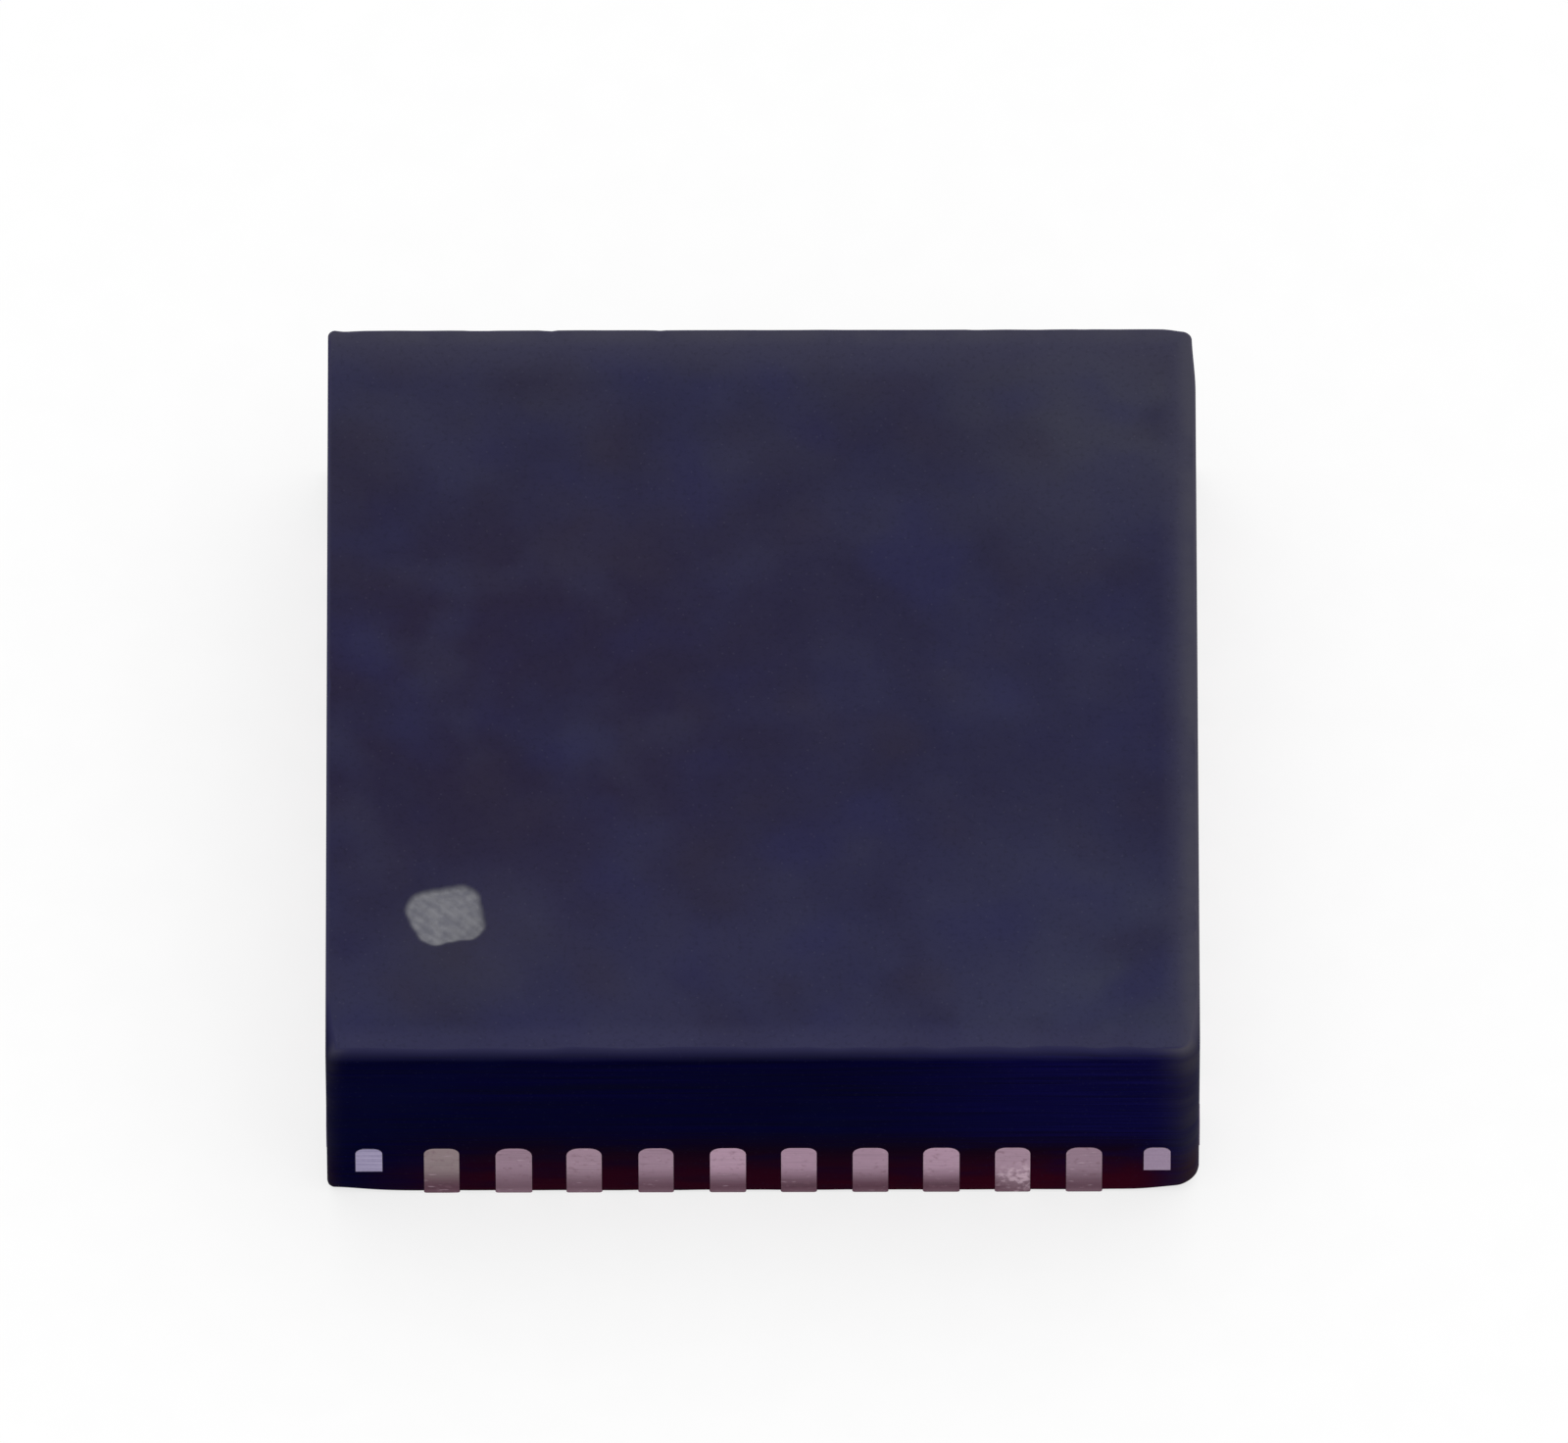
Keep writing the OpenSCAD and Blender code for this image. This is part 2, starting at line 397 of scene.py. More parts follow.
    right_rub_and_sheen = smooth(top_x, SIDE_HALF - rim, SIDE_HALF - RIM_RUB_AND_SHEEN)
    back_rub_and_sheen = smooth(top_y, SIDE_HALF - rim, SIDE_HALF - RIM_RUB_AND_SHEEN)
    left_rub_and_sheen = smooth(-top_x, SIDE_HALF - RIM_RUB_AND_SHEEN, SIDE_HALF)
    rim_rub_and_sheen = np.maximum(RIGHT_RUB_AND_SHEEN * right_rub_and_sheen, BACK_RUB_AND_SHEEN * back_rub_and_sheen)
    rim_rub_and_sheen = np.maximum(rim_rub_and_sheen, LEFT_RUB_AND_SHEEN * left_rub_and_sheen)
    # Wear and painted sheen up the corners, strongest at the worn front right one
    every_corner_wear_and_sheen = CORNER_WEAR_AND_SHEEN * bell(from_corner, CORNER_WEAR_AND_SHEEN_SPAN)
    wear_and_sheen = np.maximum(bell(from_worn_corner, WORN_SPAN), every_corner_wear_and_sheen)[loop]
    # Painted light on the upper bend: the top's tone carried down it, falling off in front and kept most of
    # the way elsewhere
    bend_share = (bend / bend[-1])[:, None]
    bend_front = front[loop][None, :]
    bend_light = bend_front * (1 - bend_share) ** FRONT_BEND_LIGHT_POWER
    bend_light = bend_light + (1 - bend_front) * smooth(bend_share, 1, BEND_LIGHT_REACH)
    bend_rub_and_sheen = np.broadcast_to(np.maximum(rim_rub_and_sheen[loop], wear_and_sheen), bend_light.shape)
    start, full, fading, end = SMEAR_STOPS
    smear = (smooth(along, start, full) * smooth(along, end, fading))[loop]
    bend_smear = np.broadcast_to(smear, bend_light.shape)
    plain_top = np.zeros(len(top))
    plain_side = np.zeros_like(wear_and_sheen)
    attributes = {
        "mark": by_ring(burnt, np.zeros_like(bend_light), plain_side),
        "rub_and_sheen": by_ring(rim_rub_and_sheen, bend_rub_and_sheen, wear_and_sheen),
        "painted_bend_light": by_ring(np.ones_like(plain_top), bend_light, plain_side),
        "smear": by_ring(plain_top, bend_smear, smear),
    }
    return points, faces, finish_index, attributes


def section_loop(flat_count, arc_count, side_count):
    """A rounded rectangle as shares of its half width, low and top z, and low and top corner radii.

    Each point is a row of weights: x from the half width and the two radii, then z from the low and the
    top height and the two radii. The loop starts at the lower left corner and runs to the right along
    the bottom.
    """
    low_arc = np.linspace(-math.pi / 2, 0, arc_count, endpoint=False)
    top_arc = np.linspace(0, math.pi / 2, arc_count, endpoint=False)
    flat = np.linspace(-1, 1, flat_count, endpoint=False)
    rise = np.linspace(0, 1, side_count, endpoint=False)
    none, one = np.zeros_like, np.ones_like
    bottom = np.stack([flat, -flat, none(flat), one(flat), none(flat), none(flat), none(flat)], 1)
    low_right = np.stack([
        one(low_arc), np.cos(low_arc) - 1, none(low_arc),
        one(low_arc), none(low_arc), 1 + np.sin(low_arc), none(low_arc),
    ], 1)
    right = np.stack([one(rise), none(rise), none(rise), 1 - rise, rise, 1 - rise, -rise], 1)
    top_right = np.stack([
        one(top_arc), none(top_arc), np.cos(top_arc) - 1,
        none(top_arc), one(top_arc), none(top_arc), np.sin(top_arc) - 1,
    ], 1)
    half = np.concatenate([low_right, right, top_right])
    top = np.stack([-flat, none(flat), flat, none(flat), one(flat), none(flat), none(flat)], 1)
    corner = np.array([[1, 0, -1, 0, 1, 0, 0.0]])
    right_half = np.concatenate([half, corner])
    left_half = right_half[::-1] * np.array([-1, -1, -1, 1, 1, 1, 1])
    return np.concatenate([bottom, right_half, top[1:], left_half[:-1]])


def lead_surface(half, edge_r, drag):
    """A lead of the front side, centred on X = 0: one rounded section carried inwards from the sawn end.

    The sawn end is a shallow dome with a rounded rim, dragged a little sideways by the saw. The foot's
    underside rises to the half etch along a half circle, and the section narrows to a half circle at the
    finger's inner end.
    """
    weights = section_loop(flat_count=14, arc_count=5, side_count=4)
    bend = np.linspace(0, math.pi / 2, RIM_ROWS)
    rim_in = SAWN_EDGE_R * (1 - np.cos(bend))
    rim_shrink = SAWN_EDGE_R * (1 - np.sin(bend))
    foot_round = FOOT_L - half - FOOT_STEP_START
    foot = np.linspace(SAWN_DOME + SAWN_EDGE_R, foot_round, FOOT_ROWS + 1)[1:]
    step = np.linspace(foot_round, FINGER_L - half, STEP_ROWS + 1)[1:]
    tip = FINGER_L - half + half * np.sin(np.linspace(0, TIP_TURN, TIP_ROWS + 1)[1:])
    along = np.concatenate([SAWN_DOME + rim_in, foot, step, tip])
    shrink = np.concatenate([rim_shrink, np.zeros(len(along) - len(rim_shrink))])
    past_straight = np.maximum(along - (FINGER_L - half), 0)
    half_width = np.sqrt(half**2 - past_straight**2) - shrink
    low_r = np.minimum(FOOT_EDGE_R, half_width / 2)
    top_r = np.minimum(edge_r, half_width)

    x = np.stack([half_width, low_r, top_r], 1) @ weights[:, :3].T
    foot_end = FOOT_L - half + np.sqrt(np.maximum(half**2 - x**2, 0))
    etched = smooth(along[:, None], foot_end - FOOT_STEP_START, foot_end + FOOT_STEP_END)
    low_z = ETCH_D * etched + shrink[:, None]
    top_z = FRAME_T - shrink
    z = low_z * weights[:, 3] + top_z[:, None] * weights[:, 4]
    z = z + np.stack([low_r, top_r], 1) @ weights[:, 5:].T
    y = np.broadcast_to(-HALF_W + along[:, None], x.shape)
    x = x + drag * np.exp(-along[:, None] / DRAG_L)
    rings = np.stack([x, y, z], axis=2)

    middle = np.array([0, -HALF_W, FRAME_T / 2])
    inwards = np.linspace(1, 0, DOME_ROWS + 2)[1:-1, None, None]
    cap = middle + (rings[0] - middle) * inwards
    cap[:, :, 1] = -HALF_W + SAWN_DOME * inwards[:, :, 0] ** 2
    stack = np.concatenate([cap[::-1], rings])

    count = len(weights)
    row = np.arange(len(stack))[:, None] * count + np.arange(count)
    bands = [band_faces(inner, outer) for inner, outer in zip(row[:-1], row[1:])]
    hub = np.full(count, stack.size // 3)
    hub_faces = np.stack([hub, row[0], np.roll(row[0], -1)], axis=1)
    points = np.concatenate([stack.reshape(-1, 3), middle[None, :]])
    faces = [*hub_faces.tolist(), *np.concatenate(bands).tolist(), row[-1][::-1].tolist()]
    sawn_faces = len(hub_faces) + (len(cap) + len(bend) - 1) * count
    finish_index = np.ones(len(faces), int)
    finish_index[:sawn_faces] = 0
    return points, faces, finish_index


def turned(points, side):
    """Points of the front side turned about Z to another side, anticlockwise by quarter turns."""
    cosine, sine = [(1, 0), (0, 1), (-1, 0), (0, -1)][side]
    turn = np.array([[cosine, sine, 0], [-sine, cosine, 0], [0, 0, 1]])
    return points @ turn


def make_piece(name, points, faces, finishes, finish_index, attributes=None):
    """A smooth-shaded piece on the one rigid body, with its finishes and its named point attributes."""
    mesh = bpy.data.meshes.new(name)
    mesh.from_pydata(np.asarray(points).tolist(), [], np.asarray(faces, dtype=object).tolist())
    for finish in finishes:
        mesh.materials.append(finish)
    mesh.polygons.foreach_set("material_index", np.asarray(finish_index, dtype=np.int32))
    mesh.polygons.foreach_set("use_smooth", np.ones(len(mesh.polygons), dtype=bool))
    for label, values in (attributes or {}).items():
        attribute = mesh.attributes.new(label, "FLOAT", "POINT")
        attribute.data.foreach_set("value", values.astype(np.float32))
    mesh.update()
    piece = bpy.data.objects.new(name, mesh)
    bpy.context.scene.collection.objects.link(piece)
    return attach(piece, "root")


# Finishes


class Finish:
    """A material under way. Each call adds a node and gives its output, and set() feeds the shader."""

    def __init__(self, name):
        self.material = bpy.data.materials.new(name)
        self.material.use_nodes = True
        self.tree = self.material.node_tree
        self.shader = self.tree.nodes["Principled BSDF"]
        self.place = self.tree.nodes.new("ShaderNodeTexCoord").outputs["Object"]

    def feed(self, socket, value):
        if isinstance(value, bpy.types.NodeSocket):
            self.tree.links.new(value, socket)
        else:
            socket.default_value = value

    def node(self, kind, inputs, output=0, **settings):
        made = self.tree.nodes.new(kind)
        for setting, value in settings.items():
            setattr(made, setting, value)
        for key, value in inputs.items():
            self.feed(made.inputs[key], value)
        return made.outputs[output]

    def set(self, **inputs):
        for key, value in inputs.items():
            self.feed(self.shader.inputs[key.replace("_", " ")], value)

    def stretched(self, x, y, z):
        return self.node("ShaderNodeVectorMath", {0: self.place, 1: (x, y, z)}, operation="MULTIPLY")

    def distance(self, centre):
        inputs = {0: self.place, 1: centre}
        return self.node("ShaderNodeVectorMath", inputs, output=1, operation="DISTANCE")

    def noise(self, size, detail=2.0, place=None, rough=0.5):
        """Noise whose features are about the given size, in metres. With none, the place is scaled."""
        scale = 1.0 if size is None else 1 / size
        inputs = {"Vector": place or self.place, "Scale": scale, "Detail": detail, "Roughness": rough}
        return self.node("ShaderNodeTexNoise", inputs)

    def grains(self, size):
        """Distance from the nearest of scattered grains, in shares of their spacing."""
        return self.node("ShaderNodeTexVoronoi", {"Vector": self.place, "Scale": 1 / size})

    def ramp(self, value, start, end, low=0.0, high=1.0):
        inputs = {"Value": value, "From Min": start, "From Max": end, "To Min": low, "To Max": high}
        return self.node("ShaderNodeMapRange", inputs, interpolation_type="SMOOTHSTEP")

    def math(self, operation, first, second):
        return self.node("ShaderNodeMath", {0: first, 1: second}, operation=operation)

    def mix(self, share, first, second):
        return self.node("ShaderNodeMix", {0: share, 6: first, 7: second}, output=2, data_type="RGBA")

    def shade(self, share, colour, factor):
        """The colour, times a grey factor where the share is 1."""
        grey = (factor, factor, factor, 1)
        inputs = {0: share, 6: colour, 7: grey}
        return self.node("ShaderNodeMix", inputs, output=2, data_type="RGBA", blend_type="MULTIPLY")

    def bump(self, height, depth, under=None):
        """A normal tilted by a height from 0 to 1 that stands for the given depth, in metres."""
        inputs = {"Height": height, "Distance": depth, "Strength": 1.0}
        if under is not None:
            inputs["Normal"] = under
        return self.node("ShaderNodeBump", inputs)

    def attribute(self, name):
        return self.node("ShaderNodeAttribute", {}, output=2, attribute_name=name)

    def axes(self):
        made = self.tree.nodes.new("ShaderNodeSeparateXYZ")
        self.feed(made.inputs[0], self.place)
        return made.outputs


def moulded_top():
    """Matte moulded face: mottled indigo with a fine grain, painted sheen, rims lightened by wear and
    painted sheen, the burnt mark and its soot.
    """
    finish = Finish("moulded_top")
    axes = finish.axes()
    x, y = axes["X"], axes["Y"]
    # Painted sheen: the top grows lighter towards the right, the front and the back, most at the right
    # front and right back corners
    to_right = finish.ramp(x, -0.6 * HALF_W, 0.6 * HALF_W)
    to_back = finish.ramp(y, 0.2 * HALF_W, 0.9 * HALF_W)
    to_front = finish.ramp(y, -0.2 * HALF_W, -0.9 * HALF_W)
    colour = finish.mix(to_right, tone(31, 25, 51), tone(34, 33, 61))
    colour = finish.mix(finish.math("MULTIPLY", to_front, 0.9), colour, tone(42, 42, 71))
    colour = finish.mix(finish.math("MULTIPLY", to_back, 0.9), colour, tone(42, 41, 62))
    far_right = finish.ramp(x, 0.3 * HALF_W, 0.9 * HALF_W)
    colour = finish.mix(finish.math("MULTIPLY", far_right, to_front), colour, tone(51, 53, 75))
    colour = finish.mix(finish.math("MULTIPLY", far_right, to_back), colour, tone(56, 56, 71))
    slow = finish.noise(1.2 * MM, detail=2.0)
    colour = finish.mix(finish.ramp(slow, 0.45, 0.75, 0, 0.5), colour, tone(28, 28, 58))
    blotch = finish.ramp(finish.noise(0.6 * MM, detail=2.0), 0.45, 0.7, 0, 0.4)
    colour = finish.mix(blotch, colour, tone(38, 38, 70))
    mottle = finish.noise(0.5 * MM, detail=1.0)
    colour = finish.mix(finish.ramp(mottle, 0.5, 0.75, 0, 0.38), colour, tone(46, 46, 72))
    colour = finish.mix(finish.ramp(mottle, 0.5, 0.25, 0, 0.38), colour, tone(27, 22, 48))
    tint = finish.noise(0.6 * MM, detail=1.0, place=finish.stretched(1.0, 1.0, 3.0))
    colour = finish.mix(finish.ramp(tint, 0.5, 0.75, 0, 0.4), colour, tone(34, 34, 74))
    colour = finish.mix(finish.ramp(tint, 0.5, 0.25, 0, 0.4), colour, tone(40, 35, 54))
    # Painted sheen: lighter bands along the front, right and back rims of the top
    front_rim = finish.ramp(y, 0.26 * MM - HALF_W, 0.12 * MM - HALF_W, 0, 0.5)
    right_rim = finish.ramp(x, HALF_W - 0.24 * MM, HALF_W - 0.08 * MM, 0, 0.7)
    back_rim = finish.ramp(y, HALF_W - 0.4 * MM, HALF_W - 0.08 * MM, 0, 0.8)
    colour = finish.mix(front_rim, colour, tone(50, 49, 79))
    colour = finish.mix(finish.math("MAXIMUM", right_rim, back_rim), colour, tone(53, 52, 73))
    grain = finish.noise(28 * MICRON, detail=3.0, rough=0.6)
    colour = finish.shade(finish.ramp(grain, 0.5, 0.3, 0, 0.6), colour, 0.72)
    filler = finish.ramp(finish.grains(55 * MICRON), 0.14, 0.06, 0, 0.1)
    colour = finish.mix(filler, colour, tone(96, 94, 110))
    # Wear and painted sheen on the top's outer rim, broken up by noise
    wear_and_sheen = finish.ramp(finish.noise(0.25 * MM), 0.25, 0.6, 0.45, 1)
    rub_and_sheen = finish.math("MULTIPLY", finish.attribute("rub_and_sheen"), wear_and_sheen)
    colour = finish.mix(rub_and_sheen, colour, tone(66, 65, 77))
    soot = finish.ramp(finish.distance(SOOT_PLACE), SOOT_REACH, 0.1 * SOOT_REACH, 0, 0.26)
    colour = finish.mix(soot, colour, tone(62, 59, 60))

    mark = finish.attribute("mark")
    hatch_turn = {"Vector": finish.place, "Angle": HATCH_TURN}
    hatch_place = finish.node("ShaderNodeVectorRotate", hatch_turn, rotation_type="Z_AXIS")
    hatch_waves = {"Vector": hatch_place, "Scale": HALF_WAVE / HATCH_W, "Distortion": 1.5, "Detail": 2.0}
    hatch = finish.node("ShaderNodeTexWave", hatch_waves, output=1)
    ash = finish.noise(60 * MICRON, detail=3.0)
    burnt = finish.mix(finish.ramp(ash, 0.3, 0.7), tone(107, 107, 116), tone(125, 125, 131))
    burnt = finish.shade(finish.math("MULTIPLY", hatch, 0.25), burnt, 0.7)
    to_front_right = finish.math("SUBTRACT", x, y)
    fade_start = MARK_X - MARK_Y
    fade = finish.ramp(to_front_right, fade_start, fade_start + MARK_W, 0, 0.5)
    burnt = finish.shade(fade, burnt, 0.7)
    colour = finish.mix(mark, colour, burnt)

    shine = finish.ramp(finish.noise(70 * MICRON, detail=3.0), 0.3, 0.7, 0.53, 0.61)
    roughness = finish.math("MAXIMUM", shine, finish.math("MULTIPLY", mark, 0.85))
    normal = finish.bump(grain, 2.2 * MICRON)
    normal = finish.bump(finish.math("MULTIPLY", hatch, mark), 3 * MICRON, normal)
    finish.set(Base_Color=colour, Roughness=roughness, Normal=normal, Specular_IOR_Level=0.08)
    return finish.material


def sawn_side():
    """Sawn face: near-black navy with level saw lines, filler grains and copper dragged between leads,
    painted light to the right and on the upper bend.
    """
    finish = Finish("sawn_side")
    lines = finish.noise(None, detail=3.0, place=finish.stretched(900, 900, 70000), rough=0.6)
    drag = finish.noise(None, detail=2.0, place=finish.stretched(2600, 2600, 9000))
    streak = finish.noise(None, detail=2.0, place=finish.stretched(350, 350, 16000))
    axes = finish.axes()
    x, z = axes["X"], axes["Z"]
    # Painted light: the sawn faces, and the copper smear on them, grow paler towards +X, as if lit from the
    # right
    to_right = finish.ramp(x, 0.1 * HALF_W, 0.8 * HALF_W)
    deep = finish.mix(to_right, tone(0, 0, 29), tone(3, 1, 42))
    pale = finish.mix(to_right, tone(1, 0, 44), tone(12, 9, 66))
    colour = finish.mix(finish.ramp(lines, 0.35, 0.65), deep, pale)
    colour = finish.mix(finish.ramp(streak, 0.5, 0.7, 0, 0.5), colour, tone(4, 2, 52))
    patch = finish.ramp(finish.noise(0.7 * MM, detail=2.0), 0.52, 0.75, 0, 0.5)
    colour = finish.mix(patch, colour, tone(2, 5, 44))
    smear = finish.math("MULTIPLY", finish.attribute("smear"), finish.ramp(drag, 0.3, 0.6, 0.6, 1))
    maroon = finish.math("MULTIPLY", smear, finish.ramp(z, 0.68 * MM, 0.4 * MM))
    colour = finish.mix(maroon, colour, tone(13, 0, 20))
    redder = finish.math("MULTIPLY", smear, finish.ramp(z, 0.5 * MM, 0.06 * MM))
    red = finish.mix(to_right, tone(45, 0, 21), tone(54, 0, 22))
    colour = finish.mix(redder, colour, red)
    filler = finish.ramp(finish.grains(42 * MICRON), 0.2, 0.1, 0, 0.08)
    colour = finish.mix(filler, colour, tone(56, 56, 88))
    # Wear and painted sheen up the corners: lighter towards the top, browner low down
    wear_and_sheen = finish.attribute("rub_and_sheen")
    wear_and_sheen_tone = finish.mix(finish.ramp(z, 1.0 * MM, 1.38 * MM), tone(44, 41, 56), tone(62, 59, 68))
    wear_and_sheen_tone = finish.mix(finish.ramp(z, 0.5 * MM, 0.2 * MM), wear_and_sheen_tone, tone(48, 31, 32))
    wear_and_sheen_share = finish.math("MULTIPLY", wear_and_sheen, finish.ramp(drag, 0.2, 0.8, 0.5, 1))
    colour = finish.mix(wear_and_sheen_share, colour, wear_and_sheen_tone)
    # Painted light on the upper bend: the top's tone laid down it, paler where the rim has wear and painted
    # sheen
    rim = finish.mix(wear_and_sheen, tone(48, 47, 77), tone(78, 76, 86))
    colour = finish.mix(finish.attribute("painted_bend_light"), colour, rim)
    roughness = finish.ramp(lines, 0.3, 0.7, 0.42, 0.6)
    normal = finish.bump(lines, 0.9 * MICRON)
    finish.set(Base_Color=colour, Roughness=roughness, Normal=normal, Specular_IOR_Level=0.005)
    return finish.material


def moulded_underside():
    """Underside of the moulding: the same compound against film, smoother and darker than the top."""
    finish = Finish("moulded_underside")
    slow = finish.ramp(finish.noise(0.6 * MM, detail=2.0), 0.3, 0.7)
    colour = finish.mix(slow, tone(22, 18, 44), tone(30, 27, 52))
    grain = finish.noise(24 * MICRON, detail=2.0)
    colour = finish.shade(finish.ramp(grain, 0.5, 0.3, 0, 0.5), colour, 0.75)
    normal = finish.bump(grain, 1.2 * MICRON)
    finish.set(Base_Color=colour, Normal=normal, Specular_IOR_Level=0.15)
    finish.set(Roughness=finish.ramp(finish.noise(0.12 * MM), 0.3, 0.7, 0.4, 0.55))
    return finish.material


def saw_scratches(finish):
    """Level scratches that the saw left across a metal end."""
    return finish.noise(None, detail=4.0, place=finish.stretched(2500, 2500, 120000), rough=0.65)


def sawn_copper():
    """Sawn end of a lead: pinkish copper with level saw scratches, browner towards the foot."""
    finish = Finish("sawn_copper")
    scratch = saw_scratches(finish)
    pink = finish.mix(finish.attribute("light"), tone(144, 116, 136), tone(186, 154, 174))
    colour = finish.mix(finish.attribute("warm"), pink, tone(144, 127, 130))
    low = finish.ramp(finish.axes()["Z"], 0.3 * MM, 0.06 * MM)
    browned = finish.math("MULTIPLY", low, finish.attribute("brown"))
    colour = finish.mix(browned, colour, tone(88, 52, 69))
    colour = finish.shade(finish.ramp(scratch, 0.52, 0.3, 0, 0.8), colour, 0.7)
    tarnish = finish.ramp(finish.noise(40 * MICRON, detail=2.0), 0.55, 0.75, 0, 0.4)
    colour = finish.mix(tarnish, colour, tone(112, 80, 94))
    nicks = finish.noise(None, detail=1.0, place=finish.stretched(14000, 14000, 48000))
    colour = finish.mix(finish.ramp(nicks, 0.66, 0.8, 0, 0.35), colour, tone(204, 180, 194))
    flecks = finish.ramp(finish.noise(45 * MICRON, detail=2.0), 0.48, 0.66, 0.12, 0.6)
    near_burr = finish.ramp(finish.distance(BURR_PLACE), BURR_REACH, 0.4 * BURR_REACH)
    burr = finish.math("MULTIPLY", flecks, near_burr)
    colour = finish.mix(burr, colour, tone(216, 190, 204))
    roughness = finish.ramp(scratch, 0.3, 0.7, 0.3, 0.5)
    normal = finish.bump(scratch, 1.0 * MICRON)
    finish.set(Base_Color=colour, Metallic=1.0, Roughness=roughness, Normal=normal)
    return finish.material


def tin_plate(name):
    """Matte tin plating: fine crystals, faint rubbing and dull stains. Sawn ends are bare and scratched."""
    finish = Finish(name)
    crystals = finish.noise(18 * MICRON, detail=3.0)
    clouds = finish.noise(0.35 * MM, detail=3.0)
    colour = finish.mix(finish.ramp(crystals, 0.3, 0.7), tone(178, 176, 182), tone(206, 204, 208))
    colour = finish.shade(finish.ramp(clouds, 0.5, 0.25, 0, 0.5), colour, 0.78)
    stain = finish.ramp(finish.noise(0.5 * MM, detail=3.0), 0.58, 0.8, 0, 0.5)
    colour = finish.mix(stain, colour, tone(158, 148, 144))
    axes = finish.axes()
    x, y = axes["X"], axes["Y"]
    outwards = finish.math("MAXIMUM", finish.math("ABSOLUTE", x, 0.0), finish.math("ABSOLUTE", y, 0.0))
    sawn = finish.math("GREATER_THAN", outwards, HALF_W - 10 * MICRON)
    scratch = saw_scratches(finish)
    end = finish.mix(finish.ramp(scratch, 0.3, 0.7), tone(136, 128, 160), tone(176, 166, 196))
    pinker = finish.ramp(x, -0.4 * HALF_W, 0.4 * HALF_W, 0, 0.8)
    end = finish.mix(pinker, end, tone(154, 131, 153))
    colour = finish.mix(sawn, colour, end)
    roughness = finish.ramp(crystals, 0.3, 0.7, 0.36, 0.5)
    normal = finish.bump(crystals, 0.8 * MICRON)
    finish.set(Base_Color=colour, Metallic=1.0, Roughness=roughness, Normal=normal)
    return finish.material


def polished_silicon():
    """Silicon: blue-grey with a faint pattern of cells on its face."""
    finish = Finish("polished_silicon")
    cells = finish.node("ShaderNodeTexBrick", {
        "Vector": finish.place,
        "Scale": 1 / (0.3 * MM),
        "Color1": tone(88, 98, 116),
        "Color2": tone(104, 110, 122),
        "Mortar": tone(58, 62, 74),
        "Mortar Size": 0.03,
    })
    haze = finish.noise(0.1 * MM, detail=2.0)
    finish.set(Base_Color=finish.shade(finish.ramp(haze, 0.4, 0.7, 0, 0.3), cells, 0.8), Metallic=0.6)
    finish.set(Roughness=finish.ramp(haze, 0.3, 0.7, 0.12, 0.25))
    return finish.material


def silver_glue():
    """Silver-filled glue: flakes in a grey binder."""
    finish = Finish("silver_glue")
    flakes = finish.noise(20 * MICRON, detail=3.0)
    colour = finish.mix(finish.ramp(flakes, 0.35, 0.65), tone(140, 138, 132), tone(206, 205, 200))
    normal = finish.bump(flakes, 2 * MICRON)
    finish.set(Base_Color=colour, Metallic=0.5, Roughness=0.55, Normal=normal)
    return finish.material


def gold_wire():
    """Drawn gold wire with faint draw lines."""
    finish = Finish("gold_wire")
    lines = finish.noise(8 * MICRON, detail=2.0)
    colour = finish.mix(finish.ramp(lines, 0.3, 0.7), tone(214, 168, 74), tone(240, 204, 120))
    roughness = finish.ramp(lines, 0.3, 0.7, 0.2, 0.35)
    finish.set(Base_Color=colour, Metallic=1.0, Roughness=roughness)
    return finish.material


# The piece for the moulding and one for each lead, over the nodes that they replace

points, faces, finish_index, attributes = moulding_surface()
body_finishes = [moulded_top(), sawn_side(), moulded_underside()]
moulding = make_piece("sawn_moulding", points, faces, body_finishes, finish_index, attributes)
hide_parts("mould_body")

lead_finishes = [sawn_copper(), tin_plate("lead_tin")]
chance = np.random.default_rng(LEAD_SEED)
for number in range(1, 4 * LEADS_PER_SIDE + 1):
    node = f"lead_{number:02d}"
    low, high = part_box(node)
    side, in_row = divmod(number - 1, LEADS_PER_SIDE)
    half = LEAD_W / 2 * chance.uniform(*LEAD_W_SHARES)
    edge_r = LEAD_EDGE_R * chance.uniform(*LEAD_EDGE_R_SHARES)
    drag = SAW_DRAG * chance.uniform(-1, 1)
    lead_points, lead_faces, lead_finish_index = lead_surface(half, edge_r, drag)
    placed = turned(lead_points, side)
    if side % 2 == 0:
        placed[:, 0] += (low.x + high.x) / 2
    else:
        placed[:, 1] += (low.y + high.y) / 2
    off_brightest = (in_row - BRIGHTEST_IN_ROW) / BRIGHTEST_IN_ROW
    light = BRIGHTEST - BRIGHT_FALL * off_brightest**2 + chance.uniform(-BRIGHT_SPREAD, BRIGHT_SPREAD)
    warm = 1.0 if number == 1 else chance.uniform(0, WARMEST)
    off_brownest = (in_row - BROWNEST_IN_ROW) / BROWNEST_IN_ROW
    brown = max(warm, 1 - BROWN_FALL * off_brownest**2)
    shades = {"light": light, "warm": warm, "brown": brown}
    own = {label: np.full(len(placed), value) for label, value in shades.items()}
    lead = make_piece(f"plated_{node}", placed, lead_faces, lead_finishes, lead_finish_index, own)
    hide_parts(node)

# Finishes of the nodes that stay

wire_finish = gold_wire()
node_finishes = {"die_pad": tin_plate("pad_tin"), "die": polished_silicon(), "die_attach": silver_glue()}
node_finishes |= {f"bond_wires_{side}": wire_finish for side in ("front", "right", "back", "left")}
for name, finish in node_finishes.items():
    node_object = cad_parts[name]
    node_object.data.materials.clear()
    node_object.data.materials.append(finish)


# Floor, light and camera


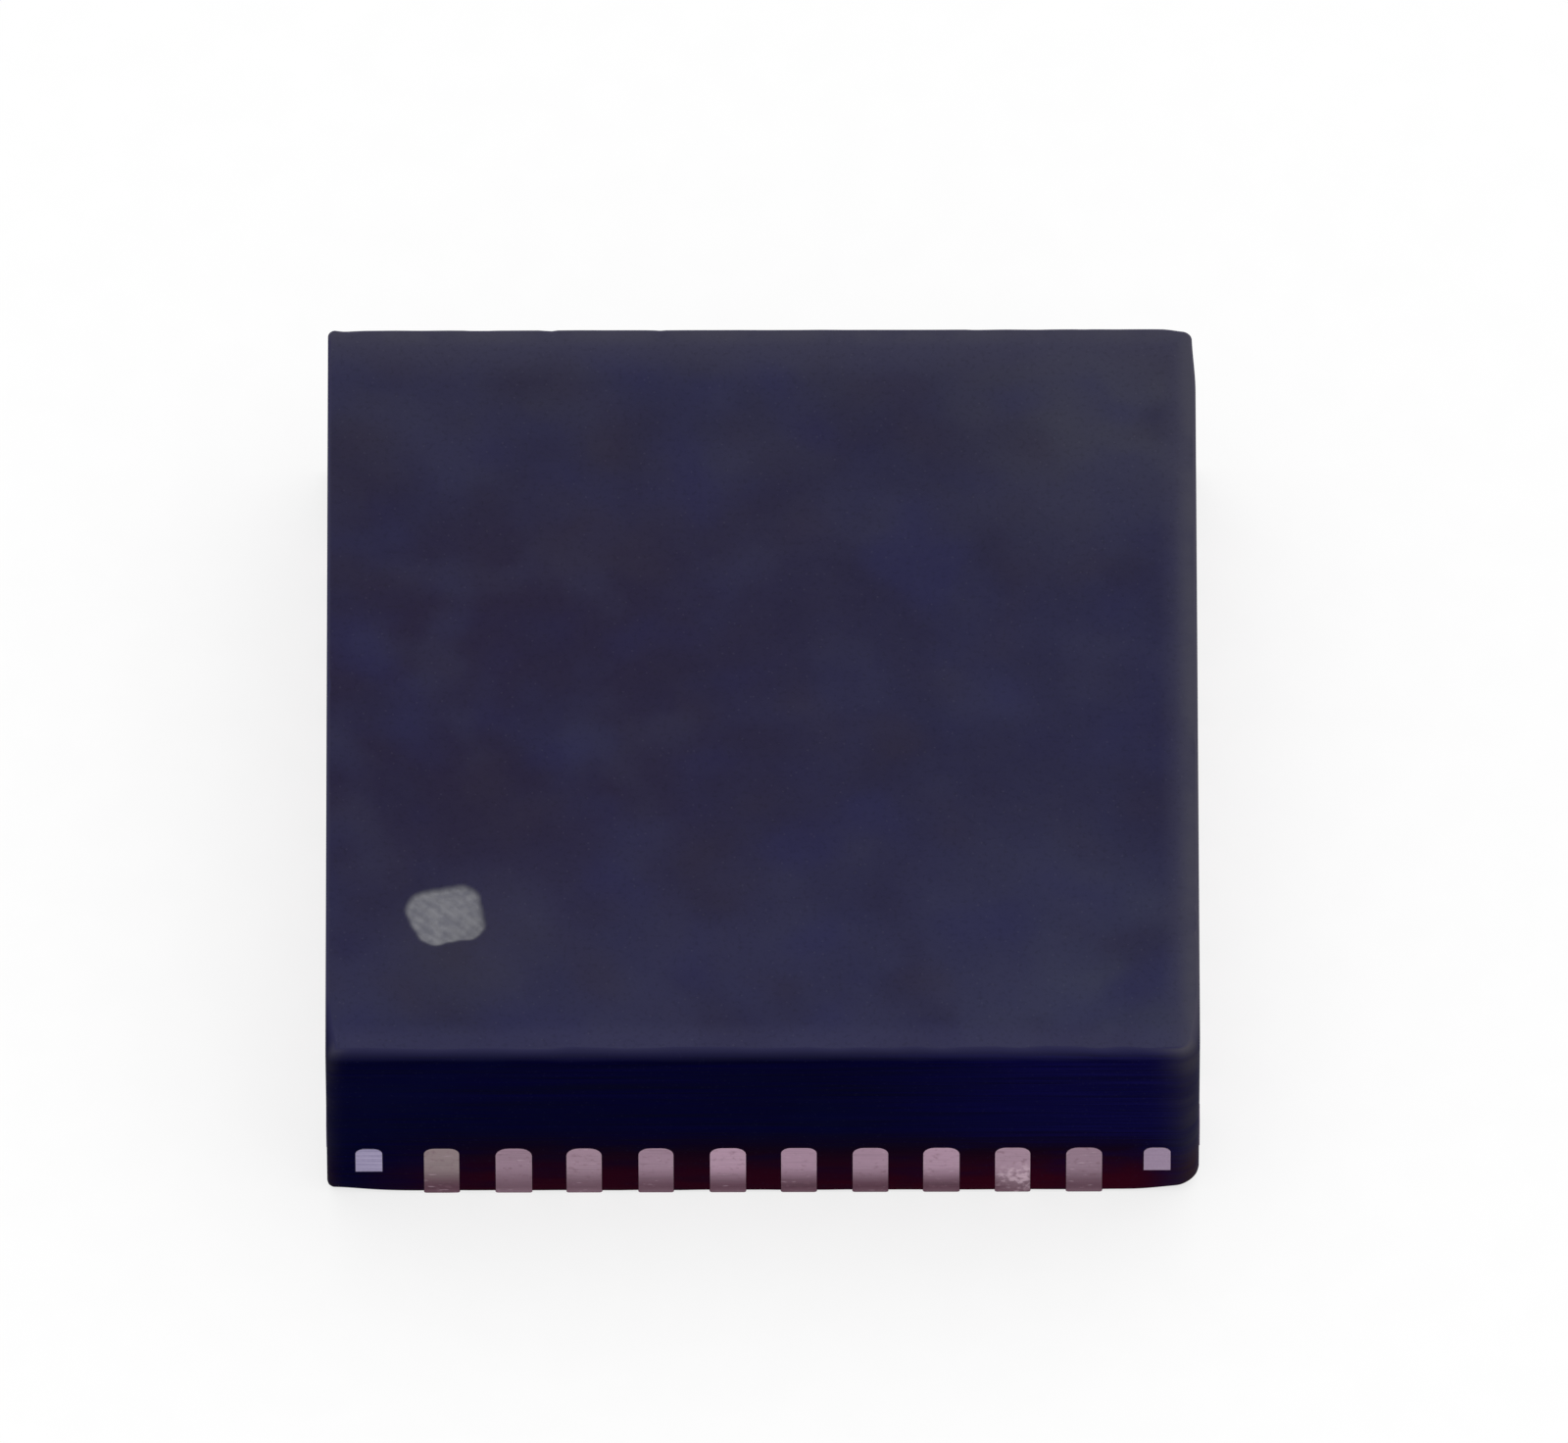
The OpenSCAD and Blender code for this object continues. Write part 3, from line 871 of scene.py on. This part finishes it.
def pale_floor():
    """White paper, plain white to the camera and in reflections, with the chip's shadow kept pale.

    It is one-sided, so that the chip's underside can be looked at from below.
    """
    finish = Finish("pale_floor")
    ray = finish.tree.nodes.new("ShaderNodeLightPath").outputs
    seen = finish.math("MAXIMUM", ray["Is Camera Ray"], ray["Is Glossy Ray"])
    seen = finish.math("MAXIMUM", seen, ray["Is Transmission Ray"])
    fibre = finish.noise(0.3 * MM, detail=3.0)
    paper = finish.mix(finish.ramp(fibre, 0.3, 0.7), tone(243, 243, 243), tone(246, 246, 246))
    finish.set(Base_Color=finish.shade(seen, paper, FLOOR_SHADE))
    finish.set(Roughness=0.9, Specular_IOR_Level=0.0, Emission_Color=(1, 1, 1, 1))
    finish.set(Emission_Strength=finish.math("MULTIPLY", seen, FLOOR_GLOW))
    from_below = finish.node("ShaderNodeNewGeometry", {}, output="Backfacing")
    from_chip = finish.math("LESS_THAN", ray["Ray Length"], UNDERSIDE_GAP)
    open_share = finish.math("MAXIMUM", from_below, from_chip)
    finish.set(Alpha=finish.math("SUBTRACT", 1.0, open_share))
    return finish.material


floor_mesh = bpy.data.meshes.new("floor")
corners = [(-1, -1), (1, -1), (1, 1), (-1, 1)]
floor_points = [(x * FLOOR_HALF, y * FLOOR_HALF, FLOOR_Z) for x, y in corners]
floor_mesh.from_pydata(floor_points, [], [(0, 1, 2, 3)])
floor_mesh.materials.append(pale_floor())
floor = bpy.data.objects.new("floor", floor_mesh)
bpy.context.scene.collection.objects.link(floor)

world = bpy.data.worlds.new("white_room")
world.use_nodes = True
bpy.context.scene.world = world
world_tree = world.node_tree
world_ray = world_tree.nodes.new("ShaderNodeLightPath").outputs
level = world_tree.nodes.new("ShaderNodeMapRange")
world_tree.links.new(world_ray["Is Diffuse Ray"], level.inputs["Value"])
level.inputs["To Min"].default_value = 1.0
level.inputs["To Max"].default_value = AMBIENT
world_tree.links.new(level.outputs[0], world_tree.nodes["Background"].inputs["Strength"])
world_tree.nodes["Background"].inputs["Color"].default_value = (1, 1, 1, 1)

lamp = bpy.data.lights.new("overhead_soft", "SUN")
lamp.energy = SUN_STRENGTH
lamp.angle = SUN_SPREAD
sun = bpy.data.objects.new("overhead_soft", lamp)
sun.rotation_mode = "QUATERNION"
sun.rotation_quaternion = Vector(SUN_TOWARDS).to_track_quat("-Z", "Y")
bpy.context.scene.collection.objects.link(sun)

camera_data = bpy.data.cameras.new("camera")
camera_data.sensor_width = SENSOR_W
camera_data.lens = PHOTO_PIXELS_PER_MM / MM * CAMERA_DISTANCE * SENSOR_W / PHOTO_W
camera_data.clip_start = 0.01
camera_data.clip_end = 2.0
camera = bpy.data.objects.new("camera", camera_data)
backwards = Vector((0, -math.cos(CAMERA_ELEVATION), math.sin(CAMERA_ELEVATION)))
turn = (-backwards).to_track_quat("-Z", "Y") @ Quaternion((0, 0, 1), -PHOTO_ROLL)
pixel = MM / PHOTO_PIXELS_PER_MM
top_across, top_down = PHOTO_TOP_CENTRE
from_top_centre = Vector((PHOTO_W / 2 - top_across, top_down - PHOTO_H / 2, 0)) * pixel
aim = Vector((0, 0, TOP_Z)) + turn @ from_top_centre
camera.location = aim + backwards * CAMERA_DISTANCE
camera.rotation_mode = "QUATERNION"
camera.rotation_quaternion = turn
bpy.context.scene.collection.objects.link(camera)
bpy.context.scene.camera = camera
bpy.context.scene.view_settings.view_transform = "Standard"
